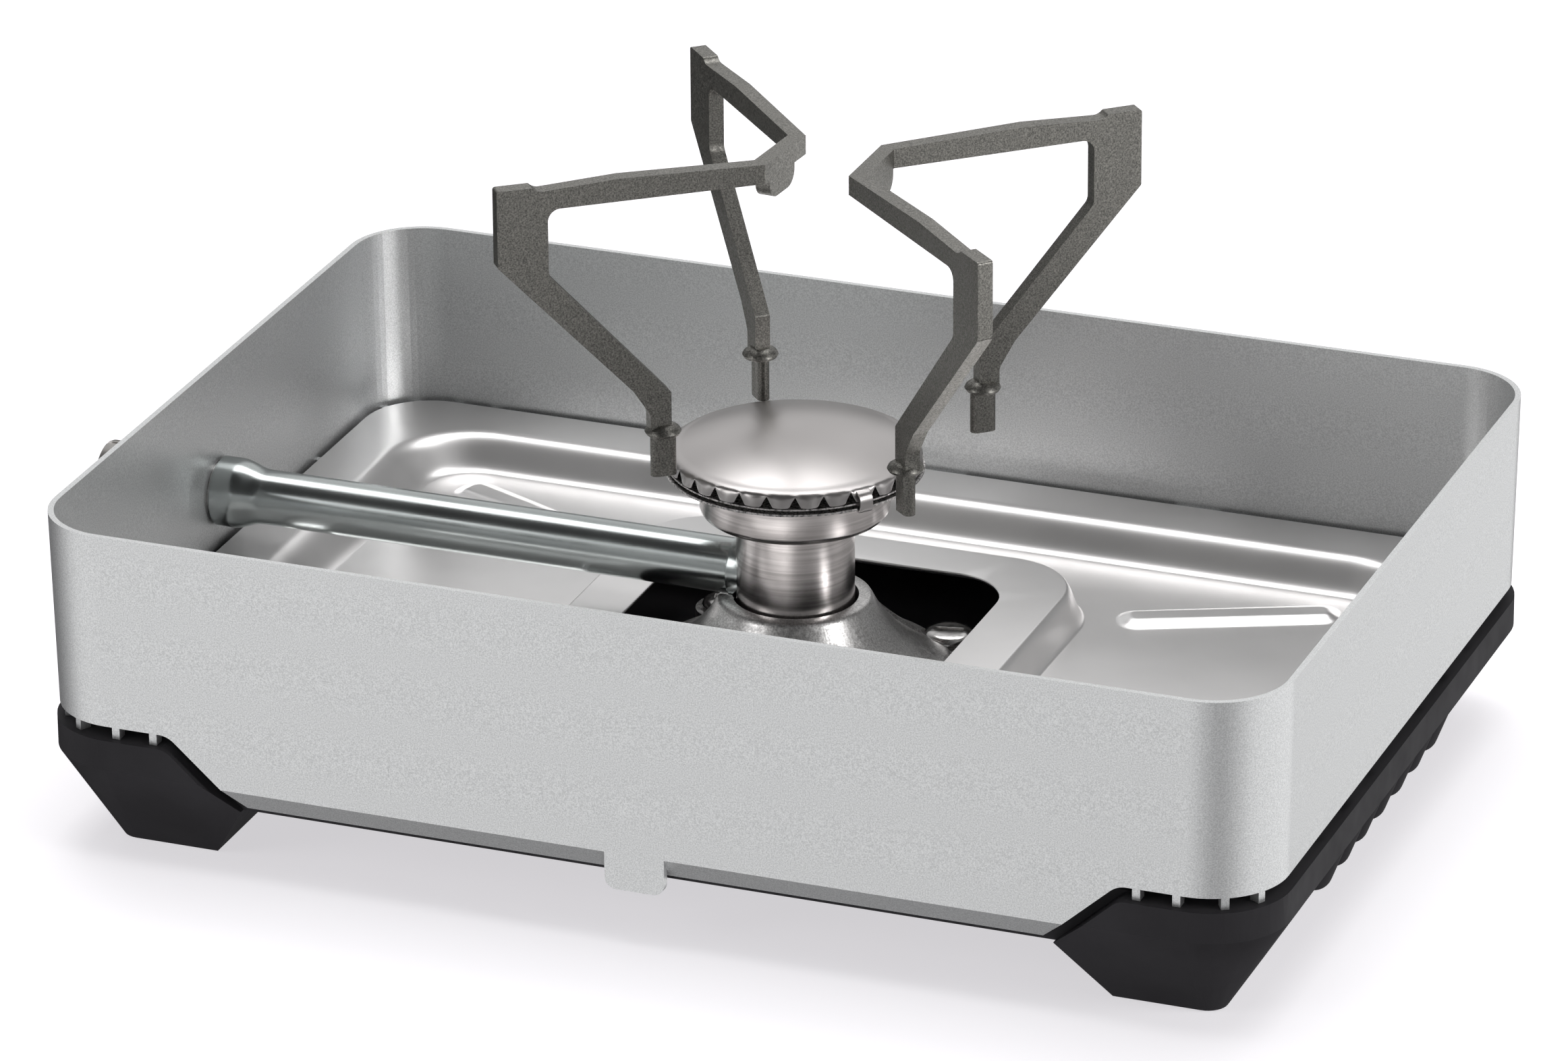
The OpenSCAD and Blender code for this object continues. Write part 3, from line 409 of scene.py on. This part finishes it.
tube_z = 54                         # height of the mixing tube's axis
screw_place = 30                    # how far the four screws lie from the burner each way
four_corners = [(x, y) for x in (-screw_place, screw_place) for y in (-screw_place, screw_place)]
socket = turned([(0, 24.2), (40, 24.2), (40, 28.5), (39.5, 29.3), (38.3, 29.95), (36, 31),
                 (33.5, 32.5), (31, 34.2), (28.6, 36), (26.4, 38), (24.4, 40.2), (22.7, 42.4),
                 (21.4, 44.4), (20.4, 46.2), (19.7, 47.6), (19.2, 48.4), (18.6, 48.8),
                 (0, 48.8)], 128, closed=False)
for x, y in four_corners:
    lug = moved(rod(8.4, 24.3, 28.4), Matrix.Translation((x, y, 0)))
    socket = combined(socket, lug, "UNION")
for k in range(4):
    web = cut_plate([(17, 25), (34.6, 25), (36.8, 28.5), (34.8, 32), (31.5, 35), (28.6, 37.1),
                     (26.4, 39), (24.4, 40.9), (22.7, 42.7), (21, 44.4), (17, 44.4)], 2.6)
    socket = combined(socket, moved(web, Matrix.Rotation(radians(45 + 90 * k), 4, "Z")), "UNION")
for radius, low, high in ((15.9, 34, 60), (5.1, 20, 36), (12, 20, 30.4)):    # stem, bolt, nut
    socket = combined(socket, rod(radius, low, high, 128), "DIFFERENCE")
for x, y in four_corners:
    for radius, low, high in ((7.3, 27.9, 45), (3.1, 20, 30)):      # screw head and shank
        socket = combined(socket, moved(rod(radius, low, high), Matrix.Translation((x, y, 0))),
                          "DIFFERENCE")
socket = combined(socket, moved(rod(8.2, 0, 19), Matrix.Rotation(radians(90), 4, "Y"),
                                Matrix.Translation((-31, 0, tube_z))), "DIFFERENCE")
bmesh.ops.remove_doubles(socket, verts=socket.verts, dist=0.02)
bmesh.ops.dissolve_degenerate(socket, edges=socket.edges, dist=0.01)
bmesh.ops.holes_fill(socket, edges=[e for e in socket.edges if e.is_boundary], sides=0)
bmesh.ops.recalc_face_normals(socket, faces=socket.faces)

cast_alloy = plain_finish("cast_alloy", Metallic=1.0)
blast = grain(cast_alloy, 0.45, detail=2)
coloured_by(cast_alloy, blast, (0.42, 0.41, 0.405), (0.78, 0.77, 0.76))
roughened_by(cast_alloy, grain(cast_alloy, 1.1), 0.28, 0.42)
raised_by(cast_alloy, blast, 0.05, 0.6)
finished("cast_socket", socket, cast_alloy, "stove", "burner_socket", crease=40)


# ---------------------------------------------------------------- socket screws
# Four slotted pan-head screws of bright turned steel clamp the socket's lugs to the base, each
# over a plain washer.

bright_steel = plain_finish("bright_steel", Metallic=1.0)
coloured_by(bright_steel, grain(bright_steel, 2), (0.5, 0.49, 0.48), (0.72, 0.71, 0.70))
roughened_by(bright_steel, grain(bright_steel, 1.2), 0.14, 0.26)

screw_top = 31.3
screws = []
for x, y in four_corners:
    screw = turned([(0, 18), (3, 18), (3, 28.9), (6.3, 28.9), (6.7, 29.4), (6.4, 30.2), (5.4, 31),
                    (4, screw_top), (0, screw_top)], 48, closed=False)
    slot = bmesh.new()
    bmesh.ops.create_cube(slot, size=1)
    bmesh.ops.scale(slot, vec=(7.2, 2.2, 2.4), verts=slot.verts)
    moved(slot, Matrix.Rotation(radians(12), 4, "Z"), Matrix.Translation((0, 0, screw_top)))
    screws.append(moved(combined(screw, slot, "DIFFERENCE"), Matrix.Translation((x, y, 0))))
screw_piece = finished("slotted_screws", gathered(screws), bright_steel, "stove",
                       "socket_screws")
soften(screw_piece, 0.15)
finish_solid("socket_washers", bright_steel)


# ---------------------------------------------------------------- burner stem and cup
# The stem is turned steel pipe, and the cup a turned steel bowl pressed over its top. Both keep
# the fine rings of the lathe tool and a faint brown tint.

turned_steel = plain_finish("turned_steel", Metallic=1.0)
coloured_by(turned_steel, grain(turned_steel, 0.7, stretch=(50, 50, 1), detail=5),
            (0.55, 0.515, 0.505), (0.98, 0.935, 0.925), high=0.9)
roughened_by(turned_steel, grain(turned_steel, 3, stretch=(3, 3, 1), detail=3), 0.20, 0.26)
raised_by(turned_steel, grain(turned_steel, 0.4, stretch=(400, 400, 1), detail=1), 0.001, 0.3)

stem = turned([(0, 24.6), (5, 24.6), (5, 34), (15.8, 34), (15.8, 37), (14.9, 37), (14.9, 71.6),
               (14, 71.6), (14, 74), (12.9, 74), (12.9, 37), (0, 37)], 128, closed=False)
stem = combined(stem, moved(rod(7.2, 0, 12.9), Matrix.Rotation(radians(90), 4, "Y"),
                            Matrix.Translation((-16.9, 0, tube_z))), "DIFFERENCE")
finished("turned_stem", stem, turned_steel, "stove", "burner_stem")

cup = turned([(14.1, 71.6), (21.9, 71.6), (23, 71.9), (23.6, 72.6), (23.9, 73.6), (23.9, 83.4),
              (21.7, 83.4), (21.7, 74), (14.1, 74)], 128)
cup_piece = finished("turned_cup", cup, turned_steel, "stove", "burner_cup")
soften(cup_piece, 0.2)


# ---------------------------------------------------------------- flame plates
# Two thin blackened discs with a spacer ring between them lie on the cup under the cap. Their
# stamped edges are rubbed bright in spots.

dark_steel = plain_finish("dark_steel", Metallic=1.0)
coloured_by(dark_steel, grain(dark_steel, 0.7, detail=4), (0.14, 0.135, 0.135),
            (0.70, 0.68, 0.67), low=0.35, high=0.6)
roughened_by(dark_steel, grain(dark_steel, 2), 0.3, 0.5)
raised_by(dark_steel, grain(dark_steel, 0.4), 0.04, 0.8)

for name, node, radius, hole, z, thickness in (
        ("lower_flame_plate", "lower_plate", 32.5, 20.2, 83.4, 0.6),
        ("flame_spacer", "spacer_ring", 29.3, 21.7, 84, 0.7),
        ("upper_flame_plate", "upper_plate", 32.0, 20.7, 84.7, 0.5)):
    disc = turned([(hole, z), (radius, z), (radius, z + thickness), (hole, z + thickness)], 168)
    soften(finished(name, disc, dark_steel, "stove", node), 0.12)


# ---------------------------------------------------------------- burner cap
# The cap is a pressed steel dome, satin on top, with a toothed skirt whose notches let the flame
# out. Three clips folded down from its skirt hold it to the plates.

dome_radius, dome_foot, dome_rise = 29.8, 89.0, 5.6
dome = [(dome_radius * t, dome_foot + dome_rise * (1 - t * t)) for t in
        [0, 0.12, 0.24, 0.36, 0.48, 0.6, 0.7, 0.8, 0.88, 0.94, 0.98]]
shoulder = [(dome_radius, 89.12), (30.25, 88.93), (30.7, 88.78), (31.1, 88.5), (31.4, 88.1)]
skirt_radius, skirt_low = 31.7, 85.4
skirt = [(31.55, 87.6), (31.62, 87.0), (31.66, 86.4), (skirt_radius, 85.9),
         (skirt_radius, skirt_low)]

notches = 28
pitch = 2 * pi / notches
first_notch = radians(-69)
columns = 14                        # columns of faces for each notch and its tooth
notch_width = 1.5 / skirt_radius / pitch    # half a notch's width, as a share of the pitch
notch_height = 3.0
teeth_top = 88.6
tooth_crown = 0.45                  # how far the middle of a tooth stands out at its edge
notch_draft = 0.1

cap = turned(dome + shoulder + skirt, notches * columns, closed=False)
for v in cap.verts:
    radius = v.co.xy.length
    if radius <= dome_radius + 0.1:
        continue
    around = Vector((1, 0)).angle_signed(v.co.xy) * -1 - first_notch
    turn = around / pitch
    place = turn - round(turn)              # -0.5 to 0.5 of a pitch, with a notch at 0
    column = abs(place) * columns
    if column < 2:
        share_out = notch_width * column / 2
    else:
        share_out = notch_width + (0.5 - notch_width) * (column - 2) / (columns / 2 - 2)
    share_out = share_out if place >= 0 else -share_out
    angle = first_notch + (round(turn) + share_out) * pitch
    over_notch = max(0.0, 1 - abs(share_out) / notch_width)
    edge = skirt_low + notch_height * over_notch
    tooth = max(0.0, min(1.0, (abs(share_out) - notch_width) / (0.5 - notch_width)))
    if v.co.z < teeth_top:
        up = (v.co.z - skirt_low) / (teeth_top - skirt_low)
        v.co.z = edge + up * (teeth_top - edge)
        radius += tooth_crown * sin(pi * tooth / 2) * (1 - up) - notch_draft * over_notch
    v.co.x = radius * cos(angle)
    v.co.y = radius * sin(angle)

cap_steel = plain_finish("cap_steel", Metallic=1.0)
coloured_by(cap_steel, grain(cap_steel, 26, detail=2), (0.46, 0.44, 0.434), (0.51, 0.488, 0.482))
roughened_by(cap_steel, grain(cap_steel, 12, detail=3), 0.30, 0.34)
raised_by(cap_steel, grain(cap_steel, 0.35), 0.002, 0.3)

cap_piece = finished("pressed_cap", cap, cap_steel, "stove", "burner_cap",
                     crease=45)
wall = cap_piece.modifiers.new("wall", "SOLIDIFY")
wall.thickness = 0.8 * mm
wall.offset = -1
soften(cap_piece, 0.1, angle=60)

clip_half = 1.85                    # half a clip's width
clip_path = [(30.9, 88.0), (31.9, 87.6), (32.6, 87.1), (33.0, 86.4), (33.15, 85.5),
             (33.15, 84.1), (33.0, 83.4), (32.6, 83.0), (32.1, 82.9), (31.3, 82.9)]
clips = []
for turn in (-37, 83, 203):
    clip = bmesh.new()
    radius, z = clip_path[0]
    edge = clip.edges.new([clip.verts.new((radius, y, z)) for y in (-clip_half, clip_half)])
    for (radius, z), (next_radius, next_z) in zip(clip_path, clip_path[1:]):
        grown = bmesh.ops.extrude_edge_only(clip, edges=[edge])["geom"]
        bmesh.ops.translate(clip, vec=(next_radius - radius, 0, next_z - z),
                            verts=[g for g in grown if isinstance(g, bmesh.types.BMVert)])
        edge = next(g for g in grown if isinstance(g, bmesh.types.BMEdge)
                    and len(g.link_faces) == 1
                    and all(v in grown for v in g.verts))
    clips.append(moved(clip, Matrix.Rotation(radians(turn), 4, "Z")))
clip_piece = finished("cap_clips", gathered(clips), cap_steel, "stove", "burner_cap",
                      crease=50)
strip = clip_piece.modifiers.new("strip", "SOLIDIFY")
strip.thickness = 0.5 * mm
strip.offset = 0
soften(clip_piece, 0.12, angle=60)


# ---------------------------------------------------------------- mixing tube
# The tube is steel pipe with a glossy zinc plate, flared to a bell at the casing's wall, where
# it takes in air with the gas. A brazed ferrule seals it where it enters the stem.

def along_tube(bm):
    """Lays a piece that was spun about Z along the tube's axis, towards the left wall."""
    return moved(bm, Matrix.Rotation(radians(-90), 4, "Y"), Matrix.Translation((0, 0, tube_z)))


zinc_plate = plain_finish("zinc_plate", Metallic=1.0)
coloured_by(zinc_plate, grain(zinc_plate, 22, stretch=(3, 1, 1), detail=4), (0.40, 0.43, 0.425),
            (0.55, 0.585, 0.58))
roughened_by(zinc_plate, grain(zinc_plate, 6, stretch=(4, 1, 1), detail=5), 0.17, 0.255)
raised_by(zinc_plate, grain(zinc_plate, 3, stretch=(5, 1, 1)), 0.02, 0.25)

mouth = 157.3                       # the bell's mouth
tube = turned([(7.1, 13.9), (7.1, mouth - 13), (7.2, mouth - 11.6), (7.6, mouth - 10),
               (8.2, mouth - 8.4), (8.7, mouth - 6.8), (8.95, mouth - 5.6), (9, mouth - 4.6),
               (9, mouth - 0.3), (8.75, mouth), (8.35, mouth), (8.1, mouth - 0.3),
               (8.1, mouth - 5.46), (7.8, mouth - 7.5), (6.4, mouth - 11), (6.2, mouth - 13),
               (6.2, 13.9)], 96)
finished("plated_tube", along_tube(tube), zinc_plate, "stove", "mixing_tube")

ferrule = turned([(7.15, 12.7), (7.15, 16.05), (7.5, 16.1), (7.85, 15.9), (8, 15.5),
                  (8, 12.7)], 96)
finished("brazed_ferrule", along_tube(ferrule), zinc_plate, "stove",
         "tube_ferrule")


# ---------------------------------------------------------------- gas valve
# Outside the left wall the gas passes a needle valve: an air collar, a brass valve body with its
# gland nut and hose nozzle, and a knob on the spindle.

brass = plain_finish("brass", Metallic=1.0)
coloured_by(brass, grain(brass, 5, detail=4), (0.50, 0.35, 0.12), (0.68, 0.50, 0.21))
roughened_by(brass, grain(brass, 2, detail=4), 0.28, 0.38)
raised_by(brass, grain(brass, 0.5), 0.006, 0.5)

copper = plain_finish("copper", Metallic=1.0, Roughness=0.35)
coloured_by(copper, grain(copper, 2), (0.45, 0.2, 0.1), (0.62, 0.3, 0.17))

knob_metal = plain_finish("knob_metal", Metallic=1.0)
coloured_by(knob_metal, grain(knob_metal, 3, detail=4), (0.42, 0.405, 0.39), (0.6, 0.58, 0.56))
roughened_by(knob_metal, grain(knob_metal, 1.2), 0.28, 0.4)
raised_by(knob_metal, grain(knob_metal, 0.2, stretch=(60, 1, 1)), 0.01, 0.4)

for name, node, material, body, slot in (
        ("air_collar_shell", "air_collar", bright_steel, "stove", "zinc_steel"),
        ("valve_block", "valve_body", brass, "stove", "brass"),
        ("gland_hexagon", "gland_nut", brass, "stove", "brass"),
        ("hose_nozzle", "gas_inlet", brass, "stove", "brass"),
        ("inlet_hexagon", "inlet_nut", brass, "stove", "brass"),
        ("turned_knob", "control_knob", knob_metal, "knob", "knob_metal")):
    soften(finished(name, from_solid(node), material, body, node, crease=30), 0.2)

for node, material, slot in (
        ("gas_jet", brass, "brass"), ("inlet_filter", brass, "brass"),
        ("stem_nut", zinc_screw, "zinc_steel"), ("stem_washer", zinc_screw, "zinc_steel"),
        ("jet_washer", copper, "copper"), ("valve_seal", sole_rubber, "seal_rubber"),
        ("valve_spindle", bright_steel, "knob_metal"),
        ("knob_set_screw", dark_steel, "knob_metal")):
    finish_solid(node, material)


# ---------------------------------------------------------------- pan supports
# Each support is cut and bent from thick steel plate, with round flanges and flat pegs that
# stand in the top cover. The steel is blasted and left dark, with paler rubbed edges.

support_steel = plain_finish("support_steel", Metallic=1.0)
blasted = grain(support_steel, 0.4, detail=2)
coloured_by(support_steel, blasted, (0.12, 0.118, 0.11), (0.32, 0.31, 0.285), low=0.32,
            high=0.72)
roughened_by(support_steel, grain(support_steel, 1), 0.34, 0.48)
raised_by(support_steel, blasted, 0.05, 0.7)

for side in ("left", "right"):
    support = finished(side + "_pan_support", from_solid("pan_support_" + side), support_steel,
                       side + "_support", "pan_support_" + side, crease=30)
    soften(support, 0.35)


# ---------------------------------------------------------------- table, light and camera
# A plain white table under soft studio lights, in a grey room of uneven brightness. Metal here
# mirrors the room and the lights, but neither the table nor the ceiling light.

table_white = plain_finish("table_white", Base_Color=(0.46, 0.455, 0.465, 1), Roughness=0.9,
                           Emission_Color=(0.61, 0.597, 0.618, 1), Emission_Strength=1.0)
table = bmesh.new()
bmesh.ops.create_grid(table, x_segments=1, y_segments=1, size=6)
mesh = bpy.data.meshes.new("table")
table.to_mesh(mesh)
table.free()
mesh.materials.append(table_white)
table = bpy.data.objects.new("table", mesh)
bpy.context.collection.objects.link(table)
table.visible_glossy = False


def soft_light(name, place, aim, width, height, power):
    """A rectangular studio light, in metres and watts, turned to face a point."""
    data = bpy.data.lights.new(name, "AREA")
    data.shape = "RECTANGLE"
    data.size = width
    data.size_y = height
    data.energy = power
    light = bpy.data.objects.new(name, data)
    light.location = place
    light.rotation_euler = (Vector(aim) - Vector(place)).to_track_quat("-Z", "Y").to_euler()
    bpy.context.collection.objects.link(light)
    return light


soft_light("ceiling", (0, 0.1, 1.5), (0, 0, 0), 1.6, 1.2, 18).visible_glossy = False
soft_light("overhead", (-0.1, 0.5, 1.42), (0, 0, 0), 1.3, 0.6, 8.5)
soft_light("front_left", (-1.3, -1.6, 1.0), (0, 0, 0.05), 0.9, 1.0, 8)
soft_light("right", (1.65, -0.3, 0.8), (0, 0, 0.05), 0.3, 0.9, 10)

world = bpy.data.worlds.new("studio")
bpy.context.scene.world = world
world.use_nodes = True


def worked_out(operation, *values):
    """A maths node over the room's directions."""
    made = add_node(world, "ShaderNodeMath", {"operation": operation})
    for socket, value in zip(made.inputs, values):
        if isinstance(value, bpy.types.NodeSocket):
            world.node_tree.links.new(value, socket)
        else:
            socket.default_value = value
    return made.outputs[0]


def greys(value, *stops):
    """Runs through greys as value goes from 0 to 1, from (value, brightness) stops."""
    ramp = add_node(world, "ShaderNodeValToRGB", Fac=value)
    for k, (place, grey) in enumerate(stops):
        bands = ramp.color_ramp.elements
        stop = bands[k] if k < 2 else bands.new(0.9999)
        stop.position = place
        stop.color = (grey, grey, grey, 1)
    return ramp.outputs[0]


def round_room(*stops):
    """Greys round the room, from (bearing in degrees, brightness), with 0 in front, 90 right."""
    return greys(bearing, *[((angle + 180) / 360, grey) for angle, grey in stops])


way = add_node(world, "ShaderNodeSeparateXYZ",
               Vector=add_node(world, "ShaderNodeTexCoord").outputs["Generated"])
turn = worked_out("ARCTAN2", way.outputs[0], worked_out("MULTIPLY", way.outputs[1], -1))
bearing = worked_out("MULTIPLY_ADD", turn, 1 / (2 * pi), 0.5)
height = worked_out("MULTIPLY_ADD", way.outputs[2], 0.5, 0.5)
low_room = round_room((-180, 0.05), (-160, 0.03), (-115, 0.03), (-88, 0.3), (-66, 0.95),
                      (-21, 1.0), (-4, 0.85), (14, 0.4), (34, 0.3), (54, 0.65), (75, 1.0),
                      (110, 1.0), (158, 1.0), (176, 0.1))
high_room = round_room((-180, 0.85), (-140, 0.75), (-105, 0.2), (-40, 0.06), (20, 0.05),
                       (60, 0.25), (80, 0.4), (110, 0.15), (155, 0.25), (176, 0.8))
from_low = worked_out("MULTIPLY", low_room, greys(height, (0.5, 1.0), (0.62, 0.0)))
from_high = worked_out("MULTIPLY", high_room, greys(height, (0.5, 0.0), (0.62, 1.0)))
level = greys(height, (0.0, 0.16), (0.17, 0.2), (0.29, 0.5), (0.72, 0.42), (0.95, 0.3))
room = world.node_tree.nodes["Background"]
room.inputs["Strength"].default_value = 2.45
world.node_tree.links.new(worked_out("MULTIPLY", worked_out("ADD", from_low, from_high), level),
                          room.inputs["Color"])

camera_data = bpy.data.cameras.new("camera")
camera_data.lens = 202.86
camera_data.sensor_width = 36
camera_data.sensor_fit = "HORIZONTAL"
camera_data.clip_start = 0.05
camera = bpy.data.objects.new("camera", camera_data)
bpy.context.collection.objects.link(camera)
aimed_at = (0.0150, -0.0084, 0.0694)
azimuth, elevation, roll, distance = 21.167, 23.169, -0.382, 2.1978
facing = (Matrix.Rotation(radians(azimuth), 4, "Z")
          @ Matrix.Rotation(radians(90 - elevation), 4, "X")
          @ Matrix.Rotation(radians(roll), 4, "Z"))
camera.matrix_world = (Matrix.Translation(aimed_at) @ facing
                       @ Matrix.Translation((0, 0, distance)))
bpy.context.scene.camera = camera
bpy.context.scene.view_settings.view_transform = "Standard"
